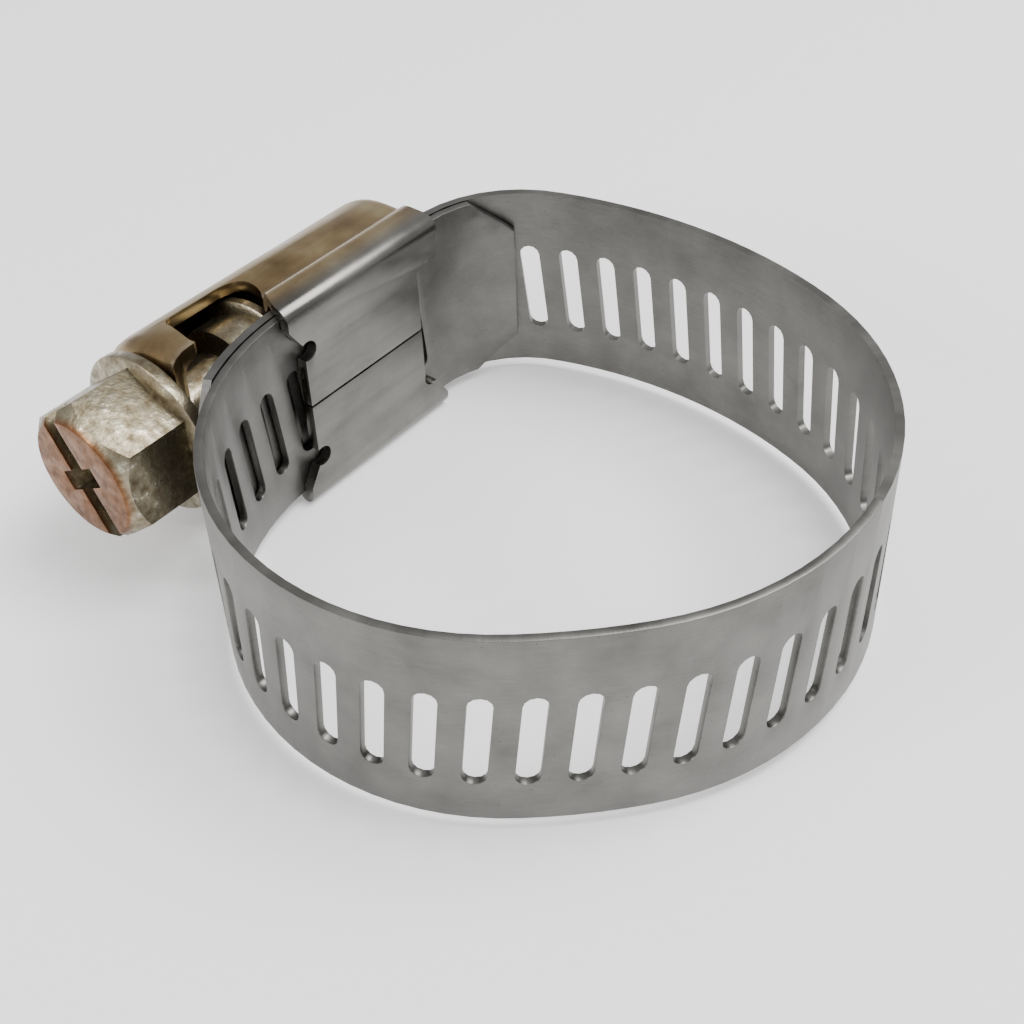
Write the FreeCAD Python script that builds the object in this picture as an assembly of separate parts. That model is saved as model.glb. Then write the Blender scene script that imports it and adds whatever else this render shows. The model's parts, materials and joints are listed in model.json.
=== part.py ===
"""Worm-drive hose clamp with a perforated half-inch band, fully open.

Frame: the origin is the centre of the hose seat, halfway up the band. +Z is the hose's axis,
+Y points from the hose to the screw housing, and the screw lies along X with its head at -X.
"""

import FreeCAD, Part
import math
import os

from FreeCAD import Matrix, Vector

# ---- Driving dimensions, millimetres and degrees ------------------------------------------

# Band strip
BAND_WIDTH = 12.7
BAND_THICKNESS = 0.5
PITCH = 2.54                 # slot spacing, and the lead of the worm
SLOT_LENGTH = 6.2
SLOT_SHARE = 0.5             # width of a slot as a share of the pitch
SLOT_LOW = 0.6               # how far the slots' middle lies below the band's own
SLOT_END = 0.45              # corner radius at the ends of a slot, as a share of its width
FIRST_SLOT = 2.7             # from the tip-side end of the straight upper run to the rack's slot

# Loop: the round hose seat and the flatter stretches either side of it
SEAT_RADIUS = 16.6
SEAT_FROM = 230.0            # the seat runs counter-clockwise between these two angles
SEAT_TO = 342.0
LEFT_FLATTER = 18.4          # added to the radius between the seat and the head-side shoulder
LEFT_TURNS_AT = 219.0
RIGHT_FLATTER = 11.4         # added to the radius between the seat and the tip-side shoulder
RIGHT_TURNS_AT = 20.5

# Housing
SHEET = 0.7                  # thickness of the stamped sheet
HOUSING_LEFT = -4.4          # ends of the folded base
HOUSING_RIGHT = 8.2
FLAP_INSET = 0.9             # the flaps between the relief holes end this far inside the left end
FLAP_INSET_RIGHT = 2.0       # and this far inside the right end
COVER_RIGHT = 10.4           # end of the arched cover, past the base
COLLAR_LEFT = -9.9           # end of the collar that holds the screw's neck
WALL_HEIGHT = 2.7            # height of the upright side walls above the base's inner face
FOLD_RADIUS = 0.9            # outside radius of the folds along the band's edges
SEAM_GAP = 0.16              # gap where the two base flaps meet
RELIEF_RADIUS = 0.65         # round holes that relieve the corners of the flaps
RELIEF_INSET = 1.2           # from the housing's left end to the holes' centres
RELIEF_INSET_RIGHT = 1.4
RELIEF_EDGE = 2.45           # from the band's edge to the holes' centres
RELIEF_SLANT = 57.0          # from each hole the flap's end slants out to the fold
SHOULDER_RISE = 0.9          # from the top of the side wall to the foot of the cover
COVER_FOOT = 0.8             # from the worm's axis down to the edge of the cover past the base
WINDOW_LEFT = -7.3           # side windows between the collar and the cover
WINDOW_RIGHT = -1.6
WINDOW_TOP = 1.8             # above the worm's axis
COLLAR_FOOT = 2.0            # from the worm's axis down to the edge of the collar

# Worm screw
THREAD_RADIUS = 4.4
THREAD_DEPTH = 0.75
RIDGE_PLAY = 0.35            # how much narrower the thread is at its root than a slot
CREST_SHARE = 0.7            # width of its crest as a share of its root
THREAD_LEFT = -4.6
THREAD_TURNS = 4.25
NECK_RADIUS = 2.3
TIP_RADIUS = 2.0
TIP_PROUD = 0.4              # how far the tip stands out of the cover's end wall
FLANGE_RADIUS = 5.1
FLANGE_THICKNESS = 1.0
HEX_ACROSS_FLATS = 8.0
HEX_LENGTH = 4.8
HEX_ANGLE = 7.0              # how far the hexagon stands turned about its axis
DRIVE_SLOT_WIDTH = 1.25
DRIVE_SLOT_DEPTH = 1.7
DRIVE_SLOT_ANGLE = 60.0
HEX_FACE_RADIUS = 3.7        # radius of the head's flat front face
HEX_CHAMFER_RUN = 1.0        # length of the turned front edge for each millimetre of radius
CROSS_SPAN = 3.6
CROSS_WIDTH = 1.3
CROSS_DEPTH = 2.6

# Ends of the band: the free tail passes under the screw's head, the tongue under the loop
TAIL_TURN = 34.0             # how far it follows the head-side shoulder round
TAIL_CORNER = 2.2
TONGUE_TURN = 50.0           # how far the tongue follows the tip-side shoulder round
TONGUE_CORNER = 2.8          # along the band
TONGUE_CORNER_RISE = 2.4     # across it

# Clearances
FLAP_GAP = 0.05              # between the seat's circle and the base flaps
LAYER_GAP = 0.1              # between the two layers of band
BAND_REST = 0.1             # between the base flaps and the lower layer
SIDE_GAP = 0.1               # between the band's edges and the side walls
ROOT_GAP = 0.25              # between the worm's core and the band
COVER_GAP = 0.22             # between the thread's crest and the cover
TURNING_GAP = 0.15           # round the screw's neck and tip
CUT_GAP = 0.07               # between stretches of the band that move apart

# ---- Values worked out from them ----------------------------------------------------------

BASE_Y = SEAT_RADIUS + FLAP_GAP
LOWER_Y = BASE_Y + SHEET + BAND_REST
UPPER_Y = LOWER_Y + BAND_THICKNESS + LAYER_GAP
CORE_RADIUS = THREAD_RADIUS - THREAD_DEPTH
AXIS_Y = UPPER_Y + BAND_THICKNESS + ROOT_GAP + CORE_RADIUS
COVER_INNER = THREAD_RADIUS + COVER_GAP
COVER_OUTER = COVER_INNER + SHEET
SLOT_WIDTH = PITCH * SLOT_SHARE
RIDGE_WIDTH = SLOT_WIDTH - RIDGE_PLAY
CREST_WIDTH = RIDGE_WIDTH * CREST_SHARE
LEFT_RADIUS = SEAT_RADIUS + LEFT_FLATTER
RIGHT_RADIUS = SEAT_RADIUS + RIGHT_FLATTER
RELIEF_Z = BAND_WIDTH / 2 - RELIEF_EDGE
WALL_INNER = BAND_WIDTH / 2 + SIDE_GAP
WALL_OUTER = WALL_INNER + SHEET
LEAD_ANGLE = math.degrees(math.atan(PITCH / (2 * math.pi * (THREAD_RADIUS - BAND_THICKNESS / 2))))
SLOT_REACH = SLOT_WIDTH / 2 + (SLOT_LENGTH / 2 + SLOT_LOW) * math.tan(math.radians(LEAD_ANGLE))
FLANGE_RIGHT = COLLAR_LEFT - TURNING_GAP
HEX_RIGHT = FLANGE_RIGHT - FLANGE_THICKNESS
HEX_LEFT = HEX_RIGHT - HEX_LENGTH


def polar(radius, angle, centre=Vector(0, 0, 0)):
    """A point at this radius and angle in the XY plane."""
    a = math.radians(angle)
    return centre + Vector(radius * math.cos(a), radius * math.sin(a), 0)


def save(name, shape):
    if not shape.isValid():
        raise ValueError(f"{name} isn't a valid solid")
    shape.exportStep(f"parts/{name}.step")
    box = shape.BoundBox
    print(f"{name}: {len(shape.Solids)} solid, {shape.Volume:.2f} mm3, "
          f"x {box.XMin:.2f}..{box.XMax:.2f}, y {box.YMin:.2f}..{box.YMax:.2f}, "
          f"z {box.ZMin:.2f}..{box.ZMax:.2f}")


# ---- The band's route ---------------------------------------------------------------------

class Arc:
    """An arc of the band's inner face, followed counter-clockwise about its centre."""

    def __init__(self, centre, radius, start, end):
        self.centre, self.radius, self.start, self.end = centre, radius, start, end
        self.length = math.radians(end - start) * radius

    def point(self, share, out=0.0):
        angle = self.start + share * (self.end - self.start)
        return polar(self.radius + out, angle, self.centre)

    def outward(self, share):
        return polar(1, self.start + share * (self.end - self.start))

    def edge(self, out):
        ends = self.point(0, out), self.point(0.5, out), self.point(1, out)
        return Part.Arc(*ends).toShape()


class Run:
    """A straight run of the band's inner face along -X, with its outside towards +Y."""

    def __init__(self, left, right, y):
        self.left, self.right, self.y = left, right, y
        self.length = right - left

    def point(self, share, out=0.0):
        return Vector(self.right - share * self.length, self.y + out, 0)

    def outward(self, share):
        return Vector(0, 1, 0)

    def edge(self, out):
        return Part.LineSegment(self.point(0, out), self.point(1, out)).toShape()


def shoulder(side_radius, seat_angle, turn_angle, top):
    """The arcs from one end of the seat to the flat run at height top: their centres and radii.

    Each arc is tangent to the one before it, and the last is tangent to the flat run."""
    side = polar(SEAT_RADIUS - side_radius, seat_angle)
    rise = math.sin(math.radians(turn_angle))
    corner_radius = (top - side.y - side_radius * rise) / (1 - rise)
    corner = polar(side_radius - corner_radius, turn_angle, side)
    return side, corner, corner_radius


left_side, left_corner, left_corner_radius = shoulder(
    LEFT_RADIUS, SEAT_FROM, LEFT_TURNS_AT, LOWER_Y)
right_side, right_corner, right_corner_radius = shoulder(
    RIGHT_RADIUS, SEAT_TO, RIGHT_TURNS_AT, UPPER_Y)
tongue_radius = right_corner_radius - LAYER_GAP - BAND_THICKNESS
tail_radius = left_corner_radius + BAND_THICKNESS + LAYER_GAP
rack_right = right_corner.x - FIRST_SLOT + PITCH / 2

loop_arcs = [
    Arc(left_corner, left_corner_radius, 90, LEFT_TURNS_AT),
    Arc(left_side, LEFT_RADIUS, LEFT_TURNS_AT, SEAT_FROM),
    Arc(Vector(0, 0, 0), SEAT_RADIUS, SEAT_FROM, SEAT_TO),
    Arc(right_side, RIGHT_RADIUS, SEAT_TO, 360 + RIGHT_TURNS_AT),
    Arc(right_corner, right_corner_radius, RIGHT_TURNS_AT, 90),
]

# Slots follow at the pitch along the whole band, counted from FIRST_SLOT under the worm, and
# the band is divided midway between two slots.
arcs_length = sum(piece.length for piece in loop_arcs)
slot_on_arcs = (arcs_length + FIRST_SLOT) % PITCH
lower_cut = left_corner.x + (PITCH / 2 - slot_on_arcs) % PITCH
upper_cut = rack_right - PITCH
while upper_cut - PITCH > left_corner.x:
    upper_cut -= PITCH

tongue = Arc(right_corner, tongue_radius, 90 - TONGUE_TURN, 90)
fixed_route = [tongue, Run(lower_cut, right_corner.x, LOWER_Y)]
loop_route = [Run(left_corner.x, lower_cut, LOWER_Y)] + loop_arcs
loop_route += [Run(rack_right + CUT_GAP, right_corner.x, UPPER_Y)]
free_route = [Run(upper_cut, rack_right, UPPER_Y)]
tail_route = [Run(left_corner.x, upper_cut - CUT_GAP, UPPER_Y),
              Arc(left_corner, tail_radius, 90, 90 + TAIL_TURN)]


def route_length(route):
    return sum(piece.length for piece in route)


def strip(route):
    """A strip of band that follows the route, as wide and thick as the band."""
    inner = [piece.edge(0) for piece in route]
    outer = [piece.edge(BAND_THICKNESS) for piece in route]
    first = Part.LineSegment(route[0].point(0), route[0].point(0, BAND_THICKNESS)).toShape()
    last = Part.LineSegment(route[-1].point(1), route[-1].point(1, BAND_THICKNESS)).toShape()
    wire = Part.Wire(Part.__sortEdges__([first] + outer + [last] + inner))
    face = Part.Face(wire)
    face.translate(Vector(0, 0, -BAND_WIDTH / 2))
    return face.extrude(Vector(0, 0, BAND_WIDTH))


def on_band(piece, share):
    """The place of a cutter on the band: X along the route, Y up the band and Z outwards."""
    out = piece.outward(share)
    along = Vector(0, 0, 1).cross(out)
    middle = piece.point(share, BAND_THICKNESS / 2)
    return FreeCAD.Placement(Matrix(along.x, 0, out.x, middle.x,
                                    along.y, 0, out.y, middle.y,
                                    0, 1, 0, middle.z,
                                    0, 0, 0, 1))


def slot_cutter(piece, share):
    """A round-cornered bar that cuts one slanted slot through the band."""
    depth = 4 * BAND_THICKNESS
    bar = Part.makeBox(SLOT_WIDTH, SLOT_LENGTH, depth,
                       Vector(-SLOT_WIDTH / 2, -SLOT_LENGTH / 2 - SLOT_LOW, -depth / 2))
    upright = [e for e in bar.Edges if abs(e.tangentAt(e.FirstParameter).z) > 0.9]
    bar = bar.makeFillet(SLOT_END * SLOT_WIDTH, upright)
    bar.rotate(Vector(0, 0, 0), Vector(0, 0, 1), -LEAD_ANGLE)
    bar.Placement = on_band(piece, share).multiply(bar.Placement)
    return bar


def corner_cutters(piece, share, length, height):
    """Two wedges that slant the corners off an end of the band.

    length is measured along the route, negative at the route's own end."""
    wedges = []
    depth = 8 * BAND_THICKNESS
    for side in (-1, 1):
        edge = side * BAND_WIDTH / 2
        corners = [Vector(0, edge - side * height, 0), Vector(length, edge, 0),
                   Vector(length, edge + side, 0), Vector(-length, edge + side, 0),
                   Vector(-length, edge - side * height, 0)]
        face = Part.Face(Part.makePolygon(corners + corners[:1]))
        face.translate(Vector(0, 0, -depth / 2))
        wedge = face.extrude(Vector(0, 0, depth))
        wedge.Placement = on_band(piece, share).multiply(wedge.Placement)
        wedges.append(wedge)
    return wedges


def slots(route, first, plain=0.0):
    """Cutters for slots at every PITCH along the route, from the distance first.

    The first stretch of the route, plain long, has none."""
    cutters = []
    start = 0.0
    at = first
    for piece in route:
        while at < start + piece.length and at + SLOT_REACH < route_length(route):
            if at - SLOT_REACH > plain:
                cutters.append(slot_cutter(piece, (at - start) / piece.length))
            at += PITCH
        start += piece.length
    return cutters


def perforated(route, cutters):
    return strip(route).cut(Part.makeCompound(cutters))


# ---- Band: one strip, in four stretches ---------------------------------------------------

def band_fixed_end():
    first = (route_length(fixed_route) - PITCH / 2) % PITCH
    cutters = slots(fixed_route, first, tongue.length)
    cutters += corner_cutters(tongue, 0, TONGUE_CORNER, TONGUE_CORNER_RISE)
    return perforated(fixed_route, cutters)


def band_loop():
    return perforated(loop_route, slots(loop_route, PITCH / 2))


def band_free_end():
    return perforated(free_route, slots(free_route, PITCH / 2))


def band_tail():
    cutters = slots(tail_route, PITCH / 2 - CUT_GAP)
    cutters += corner_cutters(tail_route[-1], 1, -TAIL_CORNER, TAIL_CORNER)
    return perforated(tail_route, cutters)


# ---- Housing: one stamping, folded round the band and arched over the worm ----------------

def across(y, z):
    """A point of the housing's cross-section, which is drawn at x = 0."""
    return Vector(0, y, z)


def line(a, b):
    return Part.LineSegment(a, b).toShape()


def quarter(centre_y, centre_z, radius, start, end):
    """An arc of the cross-section. Angles run from +Z towards +Y."""
    points = [across(centre_y + radius * math.sin(math.radians(a)),
                     centre_z + radius * math.cos(math.radians(a)))
              for a in (start, (start + end) / 2, end)]
    return Part.Arc(*points).toShape()


def half_section():
    """One side of the sheet's cross-section, from the seam to the top of the cover."""
    slope = SHOULDER_RISE / (WALL_OUTER - COVER_OUTER)
    drop = SHEET * math.hypot(1, slope)
    wall_top = BASE_Y + WALL_HEIGHT
    inside_wall_top = wall_top + (WALL_OUTER - WALL_INNER) * slope - drop
    inside_cover_foot = wall_top + (WALL_OUTER - COVER_INNER) * slope - drop
    fold_y = BASE_Y + FOLD_RADIUS
    fold_z = WALL_OUTER - FOLD_RADIUS
    outside = [
        line(across(BASE_Y, SEAM_GAP / 2), across(BASE_Y, fold_z)),
        quarter(fold_y, fold_z, FOLD_RADIUS, -90, 0),
        line(across(fold_y, WALL_OUTER), across(wall_top, WALL_OUTER)),
        line(across(wall_top, WALL_OUTER), across(wall_top + SHOULDER_RISE, COVER_OUTER)),
        line(across(wall_top + SHOULDER_RISE, COVER_OUTER), across(AXIS_Y, COVER_OUTER)),
        quarter(AXIS_Y, 0, COVER_OUTER, 0, 90),
    ]
    inside = [
        line(across(AXIS_Y + COVER_OUTER, 0), across(AXIS_Y + COVER_INNER, 0)),
        quarter(AXIS_Y, 0, COVER_INNER, 0, 90),
        line(across(AXIS_Y, COVER_INNER), across(inside_cover_foot, COVER_INNER)),
        line(across(inside_cover_foot, COVER_INNER), across(inside_wall_top, WALL_INNER)),
        line(across(inside_wall_top, WALL_INNER), across(fold_y, WALL_INNER)),
        quarter(fold_y, fold_z, FOLD_RADIUS - SHEET, -90, 0),
        line(across(BASE_Y + SHEET, fold_z), across(BASE_Y + SHEET, SEAM_GAP / 2)),
        line(across(BASE_Y + SHEET, SEAM_GAP / 2), across(BASE_Y, SEAM_GAP / 2)),
    ]
    return Part.Face(Part.Wire(Part.__sortEdges__(outside + inside)))


def side_prism(corners, radius):
    """A bar across the whole housing, with this outline in the XY plane and rounded corners."""
    points = [Vector(x, y, -BAND_WIDTH) for x, y in corners]
    bar = Part.Face(Part.makePolygon(points + points[:1])).extrude(Vector(0, 0, 2 * BAND_WIDTH))
    upright = [e for e in bar.Edges if abs(e.tangentAt(e.FirstParameter).z) > 0.9]
    return bar.makeFillet(radius, upright)


def disc(radius, left, right):
    """A cylinder on the worm's axis between two places along it."""
    return Part.makeCylinder(radius, right - left, Vector(left, AXIS_Y, 0), Vector(1, 0, 0))


def housing():
    half = half_section()
    length = COVER_RIGHT - COLLAR_LEFT
    half.translate(Vector(COLLAR_LEFT, 0, 0))
    upper = half.extrude(Vector(length, 0, 0))
    lower = upper.mirror(Vector(0, 0, 0), Vector(0, 0, 1))
    shell = upper.fuse(lower)

    # end walls: the collar's face behind the screw's flange, and the seat of the screw's tip
    collar_wall = disc(COVER_OUTER, COLLAR_LEFT, COLLAR_LEFT + SHEET)
    tip_wall = disc(COVER_INNER + SHEET / 2, COVER_RIGHT - SHEET, COVER_RIGHT)
    shell = shell.fuse([collar_wall, tip_wall])

    wall_top = BASE_Y + WALL_HEIGHT
    far = 3.0
    below_collar = side_prism([
        (COLLAR_LEFT - far, BASE_Y - far), (HOUSING_LEFT, BASE_Y - far),
        (HOUSING_LEFT, BASE_Y + FOLD_RADIUS), (WINDOW_RIGHT, wall_top + SHOULDER_RISE),
        (WINDOW_RIGHT, AXIS_Y + WINDOW_TOP), (WINDOW_LEFT, AXIS_Y + WINDOW_TOP),
        (WINDOW_LEFT, AXIS_Y - COLLAR_FOOT), (COLLAR_LEFT - far, AXIS_Y - COLLAR_FOOT)], 0.45)
    past_base = side_prism([
        (HOUSING_RIGHT, BASE_Y - far), (COVER_RIGHT + far, BASE_Y - far),
        (COVER_RIGHT + far, AXIS_Y - COVER_FOOT), (COVER_RIGHT - SHEET, AXIS_Y - COVER_FOOT),
        (HOUSING_RIGHT, wall_top)], 0.45)
    cuts = [below_collar, past_base,
            disc(NECK_RADIUS + TURNING_GAP, COLLAR_LEFT - far, COLLAR_LEFT + far),
            disc(TIP_RADIUS + TURNING_GAP, COVER_RIGHT - far, COVER_RIGHT + far)]
    cuts += flap_reliefs()
    shell = shell.cut(Part.makeCompound(cuts))
    return shell.removeSplitter()


def flap_reliefs():
    """Cutters for the flaps' ends, which are shorter in the middle and slant out to the folds,
    with a round relief hole in each inner corner."""
    cutters = []
    ends = ((HOUSING_LEFT, HOUSING_LEFT + FLAP_INSET, HOUSING_LEFT + RELIEF_INSET),
            (HOUSING_RIGHT, HOUSING_RIGHT - FLAP_INSET_RIGHT, HOUSING_RIGHT - RELIEF_INSET_RIGHT))
    for end, flap_end, hole_x in ends:
        far_x = end + math.copysign(1.0, end - flap_end)
        far_z = RELIEF_Z + abs(far_x - hole_x) * math.tan(math.radians(RELIEF_SLANT))
        side = [(flap_end, RELIEF_Z), (hole_x, RELIEF_Z), (far_x, far_z)]
        points = [Vector(x, BASE_Y - SHEET / 2, z) for x, z in side]
        points += [Vector(x, BASE_Y - SHEET / 2, -z) for x, z in reversed(side)]
        face = Part.Face(Part.makePolygon(points + points[:1]))
        cutters.append(face.extrude(Vector(0, 1.5 * SHEET, 0)))
        for z in (-RELIEF_Z, RELIEF_Z):
            cutters.append(Part.makeCylinder(
                RELIEF_RADIUS, 3 * SHEET, Vector(hole_x, BASE_Y - SHEET, z), Vector(0, 1, 0)))
    return cutters


# ---- Worm screw: head, flange, neck, thread and tip in one turning ------------------------

def thread_ridge(start):
    """The worm's ridge, with its middle under the axis at x = start."""
    helix = Part.makeLongHelix(PITCH, THREAD_TURNS * PITCH, CORE_RADIUS)
    sunk = CORE_RADIUS - THREAD_DEPTH / 2
    ridge = [Vector(sunk, 0, -RIDGE_WIDTH / 2), Vector(CORE_RADIUS, 0, -RIDGE_WIDTH / 2),
             Vector(THREAD_RADIUS, 0, -CREST_WIDTH / 2), Vector(THREAD_RADIUS, 0, CREST_WIDTH / 2),
             Vector(CORE_RADIUS, 0, RIDGE_WIDTH / 2), Vector(sunk, 0, RIDGE_WIDTH / 2)]
    profile = Part.makePolygon(ridge + ridge[:1])
    pipe = Part.BRepOffsetAPI.MakePipeShell(helix)
    pipe.setFrenetMode(True)
    pipe.add(profile)
    pipe.build()
    pipe.makeSolid()
    solid = pipe.shape()
    # the helix's own axis becomes +X, and its start lies straight under the worm's axis
    solid.Placement = FreeCAD.Placement(Matrix(0, 0, 1, start,
                                               -1, 0, 0, AXIS_Y,
                                               0, -1, 0, 0,
                                               0, 0, 0, 1))
    return solid


def hex_head():
    """The head, with its front edge turned to a cone and a slot and a cross cut in its face."""
    corner = HEX_ACROSS_FLATS / math.sqrt(3)
    points = [Vector(HEX_LEFT, AXIS_Y + corner * math.sin(math.radians(60 * k + HEX_ANGLE)),
                     corner * math.cos(math.radians(60 * k + HEX_ANGLE))) for k in range(6)]
    head = Part.Face(Part.makePolygon(points + points[:1])).extrude(Vector(HEX_LENGTH, 0, 0))
    turned = Part.makeCone(HEX_FACE_RADIUS, HEX_FACE_RADIUS + HEX_LENGTH / HEX_CHAMFER_RUN,
                           HEX_LENGTH, Vector(HEX_LEFT, AXIS_Y, 0), Vector(1, 0, 0))
    head = head.common(turned)
    slot = Part.makeBox(DRIVE_SLOT_DEPTH, 2 * corner + 2, DRIVE_SLOT_WIDTH,
                        Vector(0, -corner - 1, -DRIVE_SLOT_WIDTH / 2))
    cross = Part.makeBox(CROSS_DEPTH, CROSS_WIDTH, CROSS_SPAN,
                         Vector(0, -CROSS_WIDTH / 2, -CROSS_SPAN / 2))
    crossing = Part.makeBox(CROSS_DEPTH, CROSS_SPAN, CROSS_WIDTH,
                            Vector(0, -CROSS_SPAN / 2, -CROSS_WIDTH / 2))
    recess = slot.fuse([cross, crossing])
    recess.rotate(Vector(0, 0, 0), Vector(1, 0, 0), DRIVE_SLOT_ANGLE)
    recess.translate(Vector(HEX_LEFT, AXIS_Y, 0))
    return head.cut(recess)


def worm_screw():
    first_slot = rack_right - PITCH / 2
    ridges_back = math.floor((first_slot - THREAD_LEFT) / PITCH)
    start = first_slot - ridges_back * PITCH
    thread_end = start + THREAD_TURNS * PITCH + RIDGE_WIDTH
    core = disc(CORE_RADIUS, start - RIDGE_WIDTH, thread_end)
    neck = disc(NECK_RADIUS, HEX_RIGHT, start)
    tip = disc(TIP_RADIUS, start, COVER_RIGHT + TIP_PROUD)
    flange = disc(FLANGE_RADIUS, HEX_RIGHT, FLANGE_RIGHT)
    return core.fuse([neck, tip, flange, hex_head(), thread_ridge(start)])


os.makedirs("parts", exist_ok=True)
save("housing", housing())
save("worm_screw", worm_screw())
save("band_fixed_end", band_fixed_end())
save("band_loop", band_loop())
save("band_free_end", band_free_end())
save("band_tail", band_tail())
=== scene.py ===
import json
from math import atan2, cos, degrees, pi, radians, sin, tan

import bmesh
import bpy
from mathutils import Matrix, Vector


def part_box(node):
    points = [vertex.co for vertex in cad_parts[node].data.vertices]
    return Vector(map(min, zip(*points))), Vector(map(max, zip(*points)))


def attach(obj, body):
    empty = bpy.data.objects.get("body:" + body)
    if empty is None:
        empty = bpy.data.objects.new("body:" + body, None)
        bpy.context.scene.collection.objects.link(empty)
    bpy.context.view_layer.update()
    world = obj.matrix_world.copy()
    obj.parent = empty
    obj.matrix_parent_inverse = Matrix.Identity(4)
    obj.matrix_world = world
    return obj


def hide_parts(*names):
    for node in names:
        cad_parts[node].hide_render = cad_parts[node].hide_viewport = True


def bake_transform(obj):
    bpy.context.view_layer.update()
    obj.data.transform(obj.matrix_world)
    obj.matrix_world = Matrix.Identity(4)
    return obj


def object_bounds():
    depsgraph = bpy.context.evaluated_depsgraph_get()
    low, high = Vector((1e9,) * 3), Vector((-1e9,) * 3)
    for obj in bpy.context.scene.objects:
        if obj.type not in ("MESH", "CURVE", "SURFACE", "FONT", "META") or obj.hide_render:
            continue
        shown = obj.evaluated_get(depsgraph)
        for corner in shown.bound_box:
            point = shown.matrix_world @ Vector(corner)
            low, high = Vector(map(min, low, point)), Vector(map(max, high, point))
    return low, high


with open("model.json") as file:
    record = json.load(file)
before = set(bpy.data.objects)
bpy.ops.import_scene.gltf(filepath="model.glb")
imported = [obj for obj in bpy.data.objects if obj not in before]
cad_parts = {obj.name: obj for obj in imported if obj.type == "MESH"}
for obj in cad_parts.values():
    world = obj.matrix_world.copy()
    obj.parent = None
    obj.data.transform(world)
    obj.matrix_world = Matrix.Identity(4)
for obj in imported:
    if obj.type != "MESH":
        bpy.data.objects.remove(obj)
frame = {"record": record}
cad_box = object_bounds()


# ---- Band, head side ----------------------------------------------------------------------
# Half-inch strip of rolled stainless steel, half a millimetre thick, punched with slanted slots.
# Its plain tongue lies under the tip-side shoulder, and it leaves the housing under the head.

mm = 0.001
rack_low, rack_high = (Vector(corner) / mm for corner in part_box("band_free_end"))
strip_width = rack_high.z - rack_low.z
strip_thickness = rack_high.y - rack_low.y
upper_run = rack_low.y
lower_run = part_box("band_fixed_end")[1][1] / mm - strip_thickness
layer_gap = upper_run - lower_run - strip_thickness
seat_radius = frame["record"]["mounts"][0]["dims"]["r_mm"]
pitch = 2.54
slot_width = 1.22
slot_length = 6.2
slot_low = 0.6
slot_slant = tan(radians(5.6))
seat_from, seat_bottom, seat_to = 230, 270, 342
head_turn, head_flatter = 219, 18.4
tip_turn, tip_flatter = 20.5, 11.4
tongue_from, tail_to = 40, 124
tongue_corner, tongue_corner_rise = 2.8, 2.4
broken_edge = 0.07


def arc(centre, radius, start, end):
    """A stretch of the strip's inner face round this centre: its length and its places."""
    def place(along, out):
        angle = radians(start) + along / radius
        return centre + (radius + out) * Vector((cos(angle), sin(angle), 0))
    return radius * radians(end - start), place


def straight(right, left, height):
    """A flat stretch through the housing, towards the head."""
    return right - left, lambda along, out: Vector((right - along, height + out, 0))


def shoulder(flatter, seat_angle, turn_angle, top):
    """The two bends between the round seat and the flat run at height top."""
    side_radius = seat_radius + flatter
    side = -flatter * Vector((cos(radians(seat_angle)), sin(radians(seat_angle)), 0))
    turn = Vector((cos(radians(turn_angle)), sin(radians(turn_angle)), 0))
    corner_radius = (top - side.y - side_radius * turn.y) / (1 - turn.y)
    return side, side_radius, side + (side_radius - corner_radius) * turn, corner_radius


head_side, head_side_radius, head_corner, head_corner_radius = shoulder(
    head_flatter, seat_from, head_turn, lower_run)
tip_side, tip_side_radius, tip_corner, tip_corner_radius = shoulder(
    tip_flatter, seat_to, tip_turn, upper_run)
route = [
    arc(tip_corner, tip_corner_radius - layer_gap - strip_thickness, tongue_from, 90),
    straight(tip_corner.x, head_corner.x, lower_run),
    arc(head_corner, head_corner_radius, 90, head_turn),
    arc(head_side, head_side_radius, head_turn, seat_from),
    arc(Vector((0, 0, 0)), seat_radius, seat_from, seat_to),
    arc(tip_side, tip_side_radius, seat_to, tip_turn + 360),
    arc(tip_corner, tip_corner_radius, tip_turn, 90),
    straight(tip_corner.x, head_corner.x, upper_run),
    arc(head_corner, head_corner_radius + strip_thickness + layer_gap, 90, tail_to),
]
reached = [sum(length for length, place in route[:k]) for k in range(len(route) + 1)]
slot_place = reached[7] + tip_corner.x - rack_high.x + pitch / 2
to_bottom = reached[4] + seat_radius * radians(seat_bottom - seat_from)
split_slot = round((to_bottom - slot_place) / pitch)


def slot_cell(bm, middle):
    """One pitch of flat strip round a slot, which is punched with rounded ends."""
    rim = bmesh.ops.create_circle(bm, segments=24, radius=1)["verts"]
    ring = list(dict.fromkeys(edge for vert in rim for edge in vert.link_edges))
    made = bmesh.ops.extrude_edge_only(bm, edges=ring)["geom"]
    border = [item for item in made if isinstance(item, bmesh.types.BMVert)]
    reach = slot_length / 2 - slot_width / 2
    corner = 75
    for vert in rim + border:
        across, up = (1 if vert.co.x > 0 else -1), (1 if vert.co.y > 0 else -1)
        turn = degrees(atan2(abs(vert.co.y), abs(vert.co.x)))
        if vert in border:
            x = pitch / 2 * min(1, (90 - turn) / (90 - corner))
            y = strip_width / 2 * min(1, turn / corner)
        elif turn <= 45:
            x, y = slot_width / 2, reach * turn / 45
        else:
            x = slot_width / 2 * cos(radians(2 * turn - 90))
            y = reach + slot_width / 2 * sin(radians(2 * turn - 90))
        vert.co = (across * x, up * y - (0 if vert in border else slot_low), 0)
    for vert in rim + border:
        vert.co.x += middle + vert.co.y * slot_slant


def plain_cell(bm, middle):
    """One pitch of flat strip with no slot."""
    cell = bmesh.ops.create_grid(bm, x_segments=2, y_segments=10, size=1)["verts"]
    for vert in cell:
        vert.co = (vert.co.x * pitch / 2, vert.co.y * strip_width / 2, 0)
        vert.co.x += middle + vert.co.y * slot_slant


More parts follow.
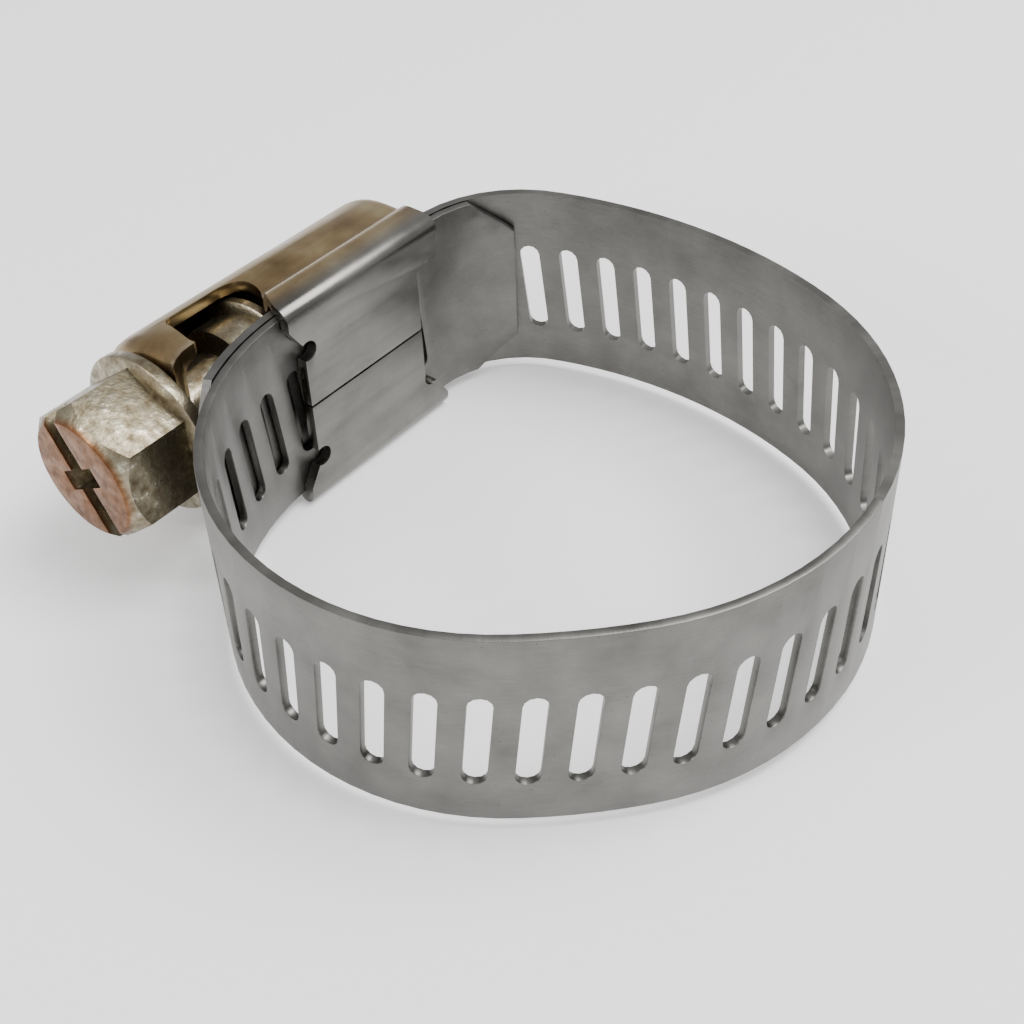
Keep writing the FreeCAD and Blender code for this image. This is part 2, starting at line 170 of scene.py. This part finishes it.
def strip(first, last, plain=0.0):
    """The flat strip between two places along it, as flat coordinates in whole slanted pitches.
    """
    bm = bmesh.new()
    for number in range(round((first - slot_place) / pitch) - 1,
                        round((last - slot_place) / pitch) + 2):
        middle = slot_place + number * pitch
        if middle > plain and middle + slot_width < reached[-1]:
            slot_cell(bm, middle)
        else:
            plain_cell(bm, middle)
    bmesh.ops.remove_doubles(bm, verts=bm.verts, dist=0.002)
    return bm


def trim(bm, place, normal):
    """Shears off what lies beyond a straight cut across the flat strip."""
    bmesh.ops.bisect_plane(bm, geom=bm.verts[:] + bm.edges[:] + bm.faces[:],
                           plane_co=place, plane_no=normal, clear_outer=True)


def roll(bm, joined=None):
    """Gives the flat strip its thickness and broken edges, and bends it along its route.

    Its cut at joined, where another length of the same strip carries on, keeps sharp edges.
    """
    bmesh.ops.recalc_face_normals(bm, faces=bm.faces)
    if bm.faces[0].normal.z > 0:
        bmesh.ops.reverse_faces(bm, faces=bm.faces)
    walls = bmesh.ops.extrude_face_region(bm, geom=bm.faces[:], use_keep_orig=True)["geom"]
    raised = [item for item in walls if isinstance(item, bmesh.types.BMVert)]
    bmesh.ops.translate(bm, verts=raised, vec=(0, 0, strip_thickness))
    bmesh.ops.recalc_face_normals(bm, faces=bm.faces)
    rims = [edge for edge in bm.edges
            if len(edge.link_faces) == 2 and edge.calc_face_angle() > radians(60)
            and not (joined and all(abs(vert.co.x - vert.co.y * slot_slant - joined) < 0.01
                                    for vert in edge.verts))]
    bmesh.ops.bevel(bm, geom=rims, offset=broken_edge, offset_type="OFFSET", segments=2,
                    profile=0.5, affect="EDGES", material=-1, clamp_overlap=True)
    flat = bm.loops.layers.uv.new("strip")
    for face in bm.faces:
        for loop in face.loops:
            loop[flat].uv = (loop.vert.co.x / 10, loop.vert.co.y / 10)
    for vert in bm.verts:
        along, up, out = vert.co
        part = max(k for k in range(len(route)) if reached[k] <= along + 0.001 or k == 0)
        vert.co = route[part][1](along - reached[part], out) + Vector((0, 0, up))


def finish_piece(bm, name, material, sharp=40):
    """Puts the mesh, in metres, into a new object in the scene."""
    bmesh.ops.scale(bm, verts=bm.verts, vec=(mm, mm, mm))
    mesh = bpy.data.meshes.new(name)
    bm.to_mesh(mesh)
    bm.free()
    mesh.polygons.foreach_set("use_smooth", [True] * len(mesh.polygons))
    mesh.set_sharp_from_angle(angle=radians(sharp))
    mesh.materials.append(material)
    piece = bpy.data.objects.new(name, mesh)
    bpy.context.scene.collection.objects.link(piece)
    return piece


def add(tree, kind, inputs=None, **settings):
    """A new node with its settings, and its sockets set or linked."""
    node = tree.nodes.new("ShaderNode" + kind)
    for key, value in settings.items():
        setattr(node, key, value)
    for key, value in (inputs or {}).items():
        if isinstance(value, bpy.types.NodeSocket):
            tree.links.new(value, node.inputs[key])
        else:
            node.inputs[key].default_value = value
    return node


def ramp(tree, factor, *stops):
    """A colour ramp through these (place, grey or colour) stops."""
    node = add(tree, "ValToRGB", {"Fac": factor})
    points = node.color_ramp.elements
    while len(points) < len(stops):
        points.new(0.5)
    for point, (place, tone) in zip(points, stops):
        point.position = place
        point.color = (tone, tone, tone, 1) if isinstance(tone, float) else (*tone, 1)
    return node.outputs["Color"]


def new_steel(name):
    """An empty metal: its node tree and its shader."""
    material = bpy.data.materials.new(name)
    material.use_nodes = True
    shader = material.node_tree.nodes["Principled BSDF"]
    shader.inputs["Metallic"].default_value = 1.0
    return material, material.node_tree, shader


band_steel, tree, shader = new_steel("rolled_band_steel")
flat_place = add(tree, "UVMap", uv_map="strip").outputs["UV"]
grain_place = add(tree, "Mapping", {"Vector": flat_place, "Scale": (2.0, 60.0, 1.0)})
grain = add(tree, "TexNoise", {"Vector": grain_place.outputs["Vector"], "Scale": 3.0,
                               "Detail": 6.0, "Roughness": 0.6})
clouds = add(tree, "TexNoise", {"Vector": flat_place, "Scale": 3.2, "Detail": 5.0})
fine = add(tree, "TexNoise", {"Vector": flat_place, "Scale": 55.0, "Detail": 3.0})
tone = ramp(tree, clouds.outputs["Fac"], (0.30, (0.130, 0.126, 0.118)),
            (0.50, (0.170, 0.166, 0.157)), (0.72, (0.225, 0.219, 0.206)))
streaks = ramp(tree, grain.outputs["Fac"], (0.35, 0.86), (0.65, 1.0))
streaked = add(tree, "Mix", {"Factor": 1.0, "A": tone, "B": streaks},
               data_type="RGBA", blend_type="MULTIPLY")
pits = add(tree, "TexVoronoi", {"Vector": flat_place, "Scale": 14.0, "Randomness": 1.0})
pitted = ramp(tree, pits.outputs["Distance"], (0.025, 0.45), (0.07, 1.0))
worn = add(tree, "Mix", {"Factor": 1.0, "A": streaked.outputs[2], "B": pitted},
           data_type="RGBA", blend_type="MULTIPLY")
tree.links.new(worn.outputs[2], shader.inputs["Base Color"])
dull = add(tree, "MapRange", {"Value": clouds.outputs["Fac"], "From Min": 0.3, "From Max": 0.7,
                              "To Min": 0.33, "To Max": 0.50})
tree.links.new(dull.outputs["Result"], shader.inputs["Roughness"])
rolled = add(tree, "Bump", {"Height": grain.outputs["Fac"], "Strength": 0.22,
                            "Distance": 0.04 * mm})
uneven = add(tree, "Bump", {"Height": fine.outputs["Fac"], "Strength": 0.18,
                            "Distance": 0.05 * mm, "Normal": rolled.outputs["Normal"]})
tree.links.new(uneven.outputs["Normal"], shader.inputs["Normal"])

halfway = slot_place + (split_slot + 0.5) * pitch
bm = strip(pitch, halfway - pitch, plain=reached[1] + 0.4)
low_corner, high_corner = -strip_width / 2, strip_width / 2
trim(bm, (0, 0, 0), (-1, 0, 0))
trim(bm, (0, high_corner - tongue_corner_rise, 0), (-tongue_corner_rise, tongue_corner, 0))
trim(bm, (0, low_corner + tongue_corner_rise, 0), (-tongue_corner_rise, -tongue_corner, 0))
trim(bm, (halfway, 0, 0), (1, -slot_slant, 0))
roll(bm, joined=halfway)
band_head_side = finish_piece(bm, "band_head_side", band_steel)
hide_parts("band_fixed_end", "band_loop")
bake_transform(band_head_side)


# ---- Band, tip side -----------------------------------------------------------------------
# The same strip further on, from the bottom of the seat round the tip-side shoulder and in under
# the worm, whose thread stands in its slots and draws it along.

rack_end = reached[7] + tip_corner.x - rack_low.x
bm = strip(halfway + pitch, rack_end)
trim(bm, (halfway, 0, 0), (-1, slot_slant, 0))
trim(bm, (rack_end, 0, 0), (1, 0, 0))
roll(bm, joined=halfway)
band_tip_side = finish_piece(bm, "band_tip_side", band_steel)
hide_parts("band_free_end")
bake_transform(band_tip_side)


# ---- Band, free tail ----------------------------------------------------------------------
# The strip's free end with its corners clipped off. It lies over the layer below and passes out
# under the screw's flange.

tail_corner = 2.2
bm = strip(rack_end, reached[-1])
trim(bm, (rack_end, 0, 0), (-1, 0, 0))
trim(bm, (reached[-1], 0, 0), (1, 0, 0))
trim(bm, (reached[-1], high_corner - tail_corner, 0), (1, 1, 0))
trim(bm, (reached[-1], low_corner + tail_corner, 0), (1, -1, 0))
roll(bm)
band_tail = finish_piece(bm, "band_tail_end", band_steel)
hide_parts("band_tail")
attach(band_tail, "band_tail")


# ---- Housing ------------------------------------------------------------------------------
# One stamping of bright stainless sheet. Its base folds round the band's edges into two flaps
# that meet in a seam, and its cover is drawn up over the worm and closed in at both ends.
# Side windows are punched under the collar, and each flap's ends are relieved by two holes.

base_low, base_high = (Vector(corner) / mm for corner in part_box("housing"))
worm_axis = frame["record"]["behaviour"]["joints"][0]["pos_m"][1] / mm
sheet = 0.7
wall_side = base_high.z
cover_side = base_high.y - worm_axis
wall_top = base_low.y + 2.7
collar_end, cover_end = base_low.x, base_high.x
collar_draw, tip_draw = 1.3, 1.0
collar_hole, tip_hole = 2.45, 2.15
flap_left, flap_right = -4.4, 8.2
seam_gap = 0.16
relief_edge, relief_slant, relief_radius = 3.9, 57, 0.65


def new_cutter(bm):
    """A punch or mill, as a loose object that isn't in the scene."""
    bmesh.ops.recalc_face_normals(bm, faces=bm.faces)
    mesh = bpy.data.meshes.new("punch")
    bm.to_mesh(mesh)
    bm.free()
    punch = bpy.data.objects.new("punch", mesh)
    bpy.context.scene.collection.objects.link(punch)
    return punch


def punched(bm, punches, operation="DIFFERENCE"):
    """The mesh after these punches have cut it."""
    blank = new_cutter(bm)
    for punch in punches:
        cut = blank.modifiers.new("cut", "BOOLEAN")
        cut.operation, cut.object, cut.solver = operation, punch, "EXACT"
    shaped = blank.evaluated_get(bpy.context.evaluated_depsgraph_get())
    bm = bmesh.new()
    bm.from_mesh(shaped.to_mesh())
    for tool in [blank] + punches:
        bpy.data.meshes.remove(tool.data)
    bmesh.ops.remove_doubles(bm, verts=bm.verts, dist=0.0005)
    bmesh.ops.dissolve_degenerate(bm, edges=bm.edges, dist=0.0005)
    return bm


def side_punch(outline, rounded):
    """A punch across the whole housing, with this outline in X and Y and rounded corners."""
    bm = bmesh.new()
    bm.faces.new([bm.verts.new((x, y, -12)) for x, y in outline])
    made = bmesh.ops.extrude_face_region(bm, geom=bm.faces[:])["geom"]
    bmesh.ops.translate(bm, verts=[v for v in made if isinstance(v, bmesh.types.BMVert)],
                        vec=(0, 0, 24))
    upright = [edge for edge in bm.edges
               if abs(edge.verts[0].co.z - edge.verts[1].co.z) > 1]
    bmesh.ops.bevel(bm, geom=upright, offset=rounded, segments=6, profile=0.5,
                    affect="EDGES", material=-1)
    return new_cutter(bm)


def round_punch(radius, start, end, axis="X", segments=48):
    """A round punch between two points."""
    bm = bmesh.new()
    start, end = Vector(start), Vector(end)
    bmesh.ops.create_cone(bm, cap_ends=True, segments=segments, radius1=radius, radius2=radius,
                          depth=(end - start).length)
    turn = Matrix.Rotation(pi / 2, 4, "Y") if axis == "X" else Matrix.Rotation(pi / 2, 4, "X")
    bmesh.ops.transform(bm, matrix=Matrix.Translation((start + end) / 2) @ turn, verts=bm.verts)
    return new_cutter(bm)


def pressing(inset):
    """The housing as a solid block, this far inside its outer face, drawn in at both ends."""
    bm = bmesh.new()
    drop = 0.55 * inset  # how much lower the inner face's bends are, where the wall slopes
    left, right = collar_end + inset, cover_end - inset
    corners = [(base_low.y + inset, 0), (base_low.y + inset, wall_side - inset),
               (wall_top - drop, wall_side - inset), (wall_top + 1.15 - drop, cover_side - inset),
               (worm_axis, cover_side - inset)]
    foot = [bm.verts.new((left + collar_draw, y, z)) for y, z in corners]
    for first, second in zip(foot, foot[1:]):
        bm.edges.new((first, second))
    bmesh.ops.spin(bm, geom=[foot[-1]], cent=(0, worm_axis, 0), axis=(1, 0, 0),
                   angle=-pi / 2, steps=12)
    made = bmesh.ops.extrude_edge_only(bm, edges=bm.edges[:])["geom"]
    bmesh.ops.translate(bm, verts=[v for v in made if isinstance(v, bmesh.types.BMVert)],
                        vec=(right - left - collar_draw - tip_draw, 0, 0))
    for corner, offset, steps in ((corners[1], 0.9 - inset, 6), (corners[2], 0.7 - drop, 5),
                                  (corners[3], 1.0 + drop, 6)):
        fold = [edge for edge in bm.edges if all(
            abs(v.co.y - corner[0]) + abs(v.co.z - corner[1]) < 0.01 for v in edge.verts)]
        bmesh.ops.bevel(bm, geom=fold, offset=offset, segments=steps, profile=0.5,
                        affect="EDGES", material=-1)
    for end, side, steps in (
            (left, left + collar_draw,
             ((0.75, 0.985), (0.35, 0.93), (0.1, 0.85), (0, 0.76), (0, 0.3))),
            (right, right - tip_draw,
             ((-0.6, 0.985), (-0.28, 0.94), (-0.08, 0.86), (0, 0.78), (0, 0.3)))):
        rim = [edge for edge in bm.edges if all(abs(v.co.x - side) < 0.01 for v in edge.verts)]
        size = 1.0
        for along, share in steps:
            made = bmesh.ops.extrude_edge_only(bm, edges=rim)["geom"]
            rim = [item for item in made if isinstance(item, bmesh.types.BMEdge)
                   and all(v in made for v in item.verts)]
            for vert in dict.fromkeys(v for edge in rim for v in edge.verts):
                vert.co.x = end + along
                vert.co.y = worm_axis + (vert.co.y - worm_axis) * share / size
                vert.co.z *= share / size
            size = share
    bmesh.ops.mirror(bm, geom=bm.verts[:] + bm.edges[:] + bm.faces[:], axis="Z",
                     merge_dist=0.001)
    bmesh.ops.remove_doubles(bm, verts=bm.verts, dist=0.002)
    bmesh.ops.holes_fill(bm, edges=[edge for edge in bm.edges if edge.is_boundary])
    bmesh.ops.recalc_face_normals(bm, faces=bm.faces)
    return bm


below_collar = side_punch([
    (collar_end - 3, base_low.y - 3), (flap_left, base_low.y - 3), (flap_left, base_low.y + 1.0),
    (-3.1, wall_top + 0.6), (-1.7, worm_axis - 0.6), (-1.6, worm_axis + 1.0),
    (-2.6, worm_axis + 1.8), (-7.2, worm_axis + 1.8),
    (-7.9, worm_axis - 2.2), (collar_end - 3, worm_axis - 2.2)], 0.6)
past_base = side_punch([
    (flap_right, base_low.y - 3), (cover_end + 3, base_low.y - 3),
    (cover_end + 3, worm_axis - 0.8), (cover_end - 0.6, worm_axis - 0.9),
    (flap_right + 0.7, wall_top + 0.9), (flap_right, wall_top)], 0.5)
seam = bmesh.new()
bmesh.ops.create_cube(seam, size=1, matrix=Matrix.Translation((0, base_low.y, 0))
                      @ Matrix.Diagonal((30, 1.8, seam_gap, 1)))
punches = [new_cutter(pressing(sheet)), new_cutter(seam), below_collar, past_base,
           round_punch(collar_hole, (collar_end - 3, worm_axis, 0),
                       (collar_end + 3, worm_axis, 0)),
           round_punch(tip_hole, (cover_end - 3, worm_axis, 0), (cover_end + 3, worm_axis, 0))]
for end, flap, hole in ((flap_left, flap_left + 0.9, flap_left + 1.2),
                        (flap_right, flap_right - 2.0, flap_right - 1.4)):
    beyond = end + (1.0 if end > 0 else -1.0)
    outside = relief_edge + abs(beyond - hole) * tan(radians(relief_slant))
    outline = [(flap, relief_edge), (hole, relief_edge), (beyond, outside),
               (beyond, -outside), (hole, -relief_edge), (flap, -relief_edge)]
    relief = bmesh.new()
    relief.faces.new([relief.verts.new((x, base_low.y - 0.5, z)) for x, z in outline])
    made = bmesh.ops.extrude_face_region(relief, geom=relief.faces[:])["geom"]
    bmesh.ops.translate(relief, verts=[v for v in made if isinstance(v, bmesh.types.BMVert)],
                        vec=(0, 1.25, 0))
    punches.append(new_cutter(relief))
    for z in (-relief_edge, relief_edge):
        punches.append(round_punch(relief_radius, (hole, base_low.y - 1, z),
                                   (hole, base_low.y + 1.1, z), axis="Y", segments=24))
bm = punched(pressing(0), punches)
bmesh.ops.recalc_face_normals(bm, faces=bm.faces)
burrs = [edge for edge in bm.edges if len(edge.link_faces) == 2
         and edge.calc_face_angle(0) > radians(50)]
bmesh.ops.bevel(bm, geom=burrs, offset=broken_edge, offset_type="OFFSET", segments=2,
                profile=0.5, affect="EDGES", material=-1, clamp_overlap=True)

housing_steel, tree, shader = new_steel("drawn_housing_steel")
place = add(tree, "TexCoord").outputs["Object"]
height = add(tree, "SeparateXYZ", {"Vector": place}).outputs["Y"]
drawn_place = add(tree, "Mapping", {"Vector": place, "Scale": (120, 900, 900)})
drawn = add(tree, "TexNoise", {"Vector": drawn_place.outputs["Vector"], "Scale": 1.0,
                               "Detail": 5.0, "Roughness": 0.55})
patches = add(tree, "TexNoise", {"Vector": place, "Scale": 260.0, "Detail": 4.0})
# Painted reflection: the cover's top, from about 17.2 to 18.8 mm up in Y, is painted warm golden
# brown for the warm surroundings it reflects, and the lower housing stays cool grey.
raised = add(tree, "MapRange", {"Value": height, "From Min": 17.2 * mm, "From Max": 18.8 * mm},
             interpolation_type="SMOOTHSTEP")
warm_painted_reflection = ramp(tree, patches.outputs["Fac"], (0.32, (0.20, 0.130, 0.062)),
            (0.52, (0.34, 0.245, 0.125)), (0.70, (0.46, 0.38, 0.23)))
cool = ramp(tree, patches.outputs["Fac"], (0.32, (0.150, 0.145, 0.134)),
            (0.68, (0.235, 0.229, 0.212)))
with_painted_reflection = add(tree, "Mix", {"Factor": raised.outputs["Result"], "A": cool, "B": warm_painted_reflection},
             data_type="RGBA")
lines = ramp(tree, drawn.outputs["Fac"], (0.33, 0.80), (0.62, 1.0))
lined = add(tree, "Mix", {"Factor": 1.0, "A": with_painted_reflection.outputs[2], "B": lines},
            data_type="RGBA", blend_type="MULTIPLY")
tree.links.new(lined.outputs[2], shader.inputs["Base Color"])
polish = add(tree, "MapRange", {"Value": patches.outputs["Fac"], "From Min": 0.3,
                                "From Max": 0.7, "To Min": 0.22, "To Max": 0.42})
tree.links.new(polish.outputs["Result"], shader.inputs["Roughness"])
drag = add(tree, "Bump", {"Height": drawn.outputs["Fac"], "Strength": 0.25,
                          "Distance": 0.06 * mm})
dents = add(tree, "Bump", {"Height": patches.outputs["Fac"], "Strength": 0.25,
                           "Distance": 0.2 * mm, "Normal": drag.outputs["Normal"]})
tree.links.new(dents.outputs["Normal"], shader.inputs["Normal"])

housing = finish_piece(bm, "folded_housing", housing_steel, sharp=35)
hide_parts("housing")
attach(housing, "housing")


# ---- Worm screw ---------------------------------------------------------------------------
# One plated steel turning with a rolled thread. The head is an 8 mm hexagon with its front edge
# turned off, and a slot and a cross struck in its face; the flange bears on the collar.

screw_low, screw_high = (Vector(corner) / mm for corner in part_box("worm_screw"))
head_face, tip_face = screw_low.x, screw_high.x
head_length, across_flats = 4.8, 8.0
hexagon_turn, slot_turn = radians(23), radians(60)
flange_left = head_face + head_length
flange_right = flange_left + 1.0
flange_radius = 5.1
thread_radius, core_radius = 4.4, 3.65
neck_radius, tip_radius = 2.3, 2.0
thread_turns, steps_a_turn = 4.25, 48
thread_start = rack_high.x - pitch / 2 - 4 * pitch


def turned(profile, steps=64):
    """A turning on the worm's axis with this outline of places along it and radii."""
    bm = bmesh.new()
    outline = [bm.verts.new((x, worm_axis + radius, 0)) for x, radius in profile]
    for first, second in zip(outline, outline[1:]):
        bm.edges.new((first, second))
    bmesh.ops.spin(bm, geom=bm.verts[:] + bm.edges[:], cent=(0, worm_axis, 0), axis=(1, 0, 0),
                   angle=2 * pi, steps=steps, use_merge=True)
    bmesh.ops.remove_doubles(bm, verts=bm.verts, dist=0.001)
    bmesh.ops.recalc_face_normals(bm, faces=bm.faces)
    return bm


shank = turned([
    (flange_left - 0.3, 0), (flange_left - 0.3, 3.4), (flange_left + 0.0, 4.35),
    (flange_left + 0.12, flange_radius - 0.12), (flange_left + 0.22, flange_radius),
    (flange_right - 0.22, flange_radius), (flange_right - 0.06, flange_radius - 0.10),
    (flange_right, flange_radius - 0.3), (flange_right, neck_radius + 0.2),
    (flange_right + 0.15, neck_radius), (thread_start - 1.0, neck_radius),
    (thread_start - 0.7, core_radius - 0.1),
    (thread_start - 0.5, core_radius), (thread_start + 11.6, core_radius),
    (thread_start + 11.9, core_radius - 0.25), (thread_start + 12.0, tip_radius),
    (tip_face - 0.25, tip_radius), (tip_face - 0.05, tip_radius - 0.15),
    (tip_face, tip_radius - 0.4), (tip_face, 0)])

ridge = bmesh.new()
section = [(-0.46, core_radius - 0.3), (-0.46, core_radius), (-0.33, thread_radius - 0.1),
           (-0.24, thread_radius), (0.24, thread_radius), (0.33, thread_radius - 0.1),
           (0.46, core_radius), (0.46, core_radius - 0.3)]
corners = [ridge.verts.new((thread_start + x, worm_axis - radius, 0)) for x, radius in section]
start_face = ridge.faces.new(corners)
bmesh.ops.spin(ridge, geom=[start_face], cent=(0, worm_axis, 0), axis=(1, 0, 0),
               dvec=(pitch / steps_a_turn, 0, 0), angle=2 * pi * thread_turns,
               steps=int(steps_a_turn * thread_turns))
bmesh.ops.recalc_face_normals(ridge, faces=ridge.faces)

head = bmesh.new()
bmesh.ops.create_circle(head, cap_ends=True, segments=6, radius=across_flats / 3 ** 0.5)
made = bmesh.ops.extrude_face_region(head, geom=head.faces[:])["geom"]
bmesh.ops.translate(head, verts=[v for v in made if isinstance(v, bmesh.types.BMVert)],
                    vec=(0, 0, head_length + 0.1))
bmesh.ops.transform(head, verts=head.verts,
                    matrix=Matrix.Translation((head_face, worm_axis, 0))
                    @ Matrix.Rotation(hexagon_turn, 4, "X") @ Matrix.Rotation(pi / 2, 4, "Y"))
bmesh.ops.recalc_face_normals(head, faces=head.faces)
cone = turned([(head_face, 0), (head_face, 3.62), (head_face + 0.05, 3.7),
               (head_face + 1.1, 4.78), (head_face + 6, 4.9), (head_face + 6, 0)], steps=96)
head = punched(head, [new_cutter(cone)], "INTERSECT")
# the blade for the slot runs right across, and the two for the cross narrow as they go in
recess = []
for long_side, wide, deep, narrows in ((12, 1.25, 1.7, False), (3.6, 1.3, 2.6, True),
                                       (1.3, 3.6, 2.6, True)):
    blade = bmesh.new()
    bmesh.ops.create_cube(blade, size=1)
    bmesh.ops.scale(blade, verts=blade.verts, vec=(2 * deep, long_side, wide))
    if narrows:
        for vert in blade.verts:
            if vert.co.x > 0:
                vert.co.y *= 0.72 if long_side > wide else 0.9
                vert.co.z *= 0.72 if long_side < wide else 0.9
    bmesh.ops.transform(blade, verts=blade.verts,
                        matrix=Matrix.Translation((head_face, worm_axis, 0))
                        @ Matrix.Rotation(slot_turn, 4, "X"))
    recess.append(new_cutter(blade))
head = punched(head, recess)
bmesh.ops.recalc_face_normals(head, faces=head.faces)
struck = [edge for edge in head.edges if len(edge.link_faces) == 2
          and edge.calc_face_angle(0) > radians(25)]
bmesh.ops.bevel(head, geom=struck, offset=0.09, offset_type="OFFSET", segments=3, profile=0.5,
                affect="EDGES", material=-1, clamp_overlap=True)

screw = bmesh.new()
for part in (shank, ridge, head):
    mesh = bpy.data.meshes.new("turning")
    part.to_mesh(mesh)
    part.free()
    screw.from_mesh(mesh)
    bpy.data.meshes.remove(mesh)

screw_steel, tree, shader = new_steel("plated_screw_steel")
place = add(tree, "TexCoord").outputs["Object"]
mottle = add(tree, "TexNoise", {"Vector": place, "Scale": 1500.0, "Detail": 5.0,
                                "Roughness": 0.6})
spots = add(tree, "TexVoronoi", {"Vector": place, "Scale": 1700.0, "Randomness": 1.0})
plated = ramp(tree, mottle.outputs["Fac"], (0.30, (0.13, 0.100, 0.058)),
              (0.47, (0.235, 0.200, 0.135)), (0.60, (0.31, 0.275, 0.20)),
              (0.74, (0.62, 0.57, 0.45)))
speckled = ramp(tree, spots.outputs["Distance"], (0.10, 0.62), (0.30, 1.0))
spotted = add(tree, "Mix", {"Factor": 0.6, "A": plated, "B": speckled},
              data_type="RGBA", blend_type="MULTIPLY")
along = add(tree, "SeparateXYZ", {"Vector": place}).outputs["X"]
# Painted reflection: the head's front face is painted brown for the brown surroundings it
# reflects, mixed over the mottled plating.
front = add(tree, "MapRange", {"Value": along, "From Min": (head_face + 0.35) * mm,
                               "From Max": (head_face + 0.05) * mm})
face_painted_reflection = ramp(tree, mottle.outputs["Fac"], (0.35, (0.115, 0.050, 0.021)),
                  (0.65, (0.215, 0.105, 0.050)))
with_face_reflection = add(tree, "Mix", {"Factor": front.outputs["Result"], "A": spotted.outputs[2],
                          "B": face_painted_reflection}, data_type="RGBA")
tree.links.new(with_face_reflection.outputs[2], shader.inputs["Base Color"])
gloss = add(tree, "MapRange", {"Value": mottle.outputs["Fac"], "From Min": 0.3,
                               "From Max": 0.7, "To Min": 0.46, "To Max": 0.24})
tree.links.new(gloss.outputs["Result"], shader.inputs["Roughness"])
struck_bump = add(tree, "Bump", {"Height": mottle.outputs["Fac"], "Strength": 0.45,
                                 "Distance": 0.12 * mm})
tree.links.new(struck_bump.outputs["Normal"], shader.inputs["Normal"])

worm_screw = finish_piece(screw, "worm_screw_turning", screw_steel, sharp=32)
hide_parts("worm_screw")
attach(worm_screw, "worm_screw")


# ---- Studio -------------------------------------------------------------------------------
# A pale floor under the clamp, which stands on the band's edges, and soft light from all round.

ground = bmesh.new()
bmesh.ops.create_grid(ground, x_segments=1, y_segments=1, size=900)
bmesh.ops.translate(ground, verts=ground.verts, vec=(0, 0, cad_box[0][2] / mm))
paper, tree, shader = new_steel("floor_paper")
shader.inputs["Metallic"].default_value = 0.0
shader.inputs["Roughness"].default_value = 0.9
shader.inputs["Base Color"].default_value = (0.90, 0.90, 0.90, 1)
shader.inputs["Emission Color"].default_value = (1, 1, 1, 1)
shader.inputs["Emission Strength"].default_value = 0.30
floor = finish_piece(ground, "floor", paper)

world = bpy.data.worlds.new("studio")
bpy.context.scene.world = world
world.use_nodes = True
sky = world.node_tree.nodes["Background"]
sky.inputs["Color"].default_value = (1.0, 1.0, 1.0, 1)
sky.inputs["Strength"].default_value = 0.62


def soft_light(name, place, target, size, power):
    """A square soft box at place, turned to target."""
    lamp = bpy.data.lights.new(name, "AREA")
    lamp.size, lamp.energy = size, power
    holder = bpy.data.objects.new(name, lamp)
    holder.location = place
    holder.rotation_euler = (Vector(target) - Vector(place)).to_track_quat("-Z", "Y").to_euler()
    bpy.context.scene.collection.objects.link(holder)


soft_light("key", (0.10, -0.10, 0.30), (0, 0, 0), 0.22, 1.6)
soft_light("rim", (-0.25, 0.10, 0.15), (0, 0.02, 0), 0.12, 0.5)

camera_data = bpy.data.cameras.new("camera")
camera = bpy.data.objects.new("camera", camera_data)
bpy.context.scene.collection.objects.link(camera)
bpy.context.scene.camera = camera
aim = Vector((0.00007, 0.00103, 0))
round_object = Matrix.Rotation(radians(-52.07), 3, "Z")
tilt = Matrix.Rotation(radians(-0.87), 4, "Z").to_quaternion()
stand = round_object @ Vector((0, -0.0658, 0.0571))
camera.location = aim + stand
camera.rotation_mode = "QUATERNION"
camera.rotation_quaternion = (-stand).to_track_quat("-Z", "Y") @ tilt
camera_data.sensor_width = 36
camera_data.lens = 55.27
camera_data.shift_x = -0.0479
camera_data.shift_y = -0.0318
camera_data.clip_start = 0.005
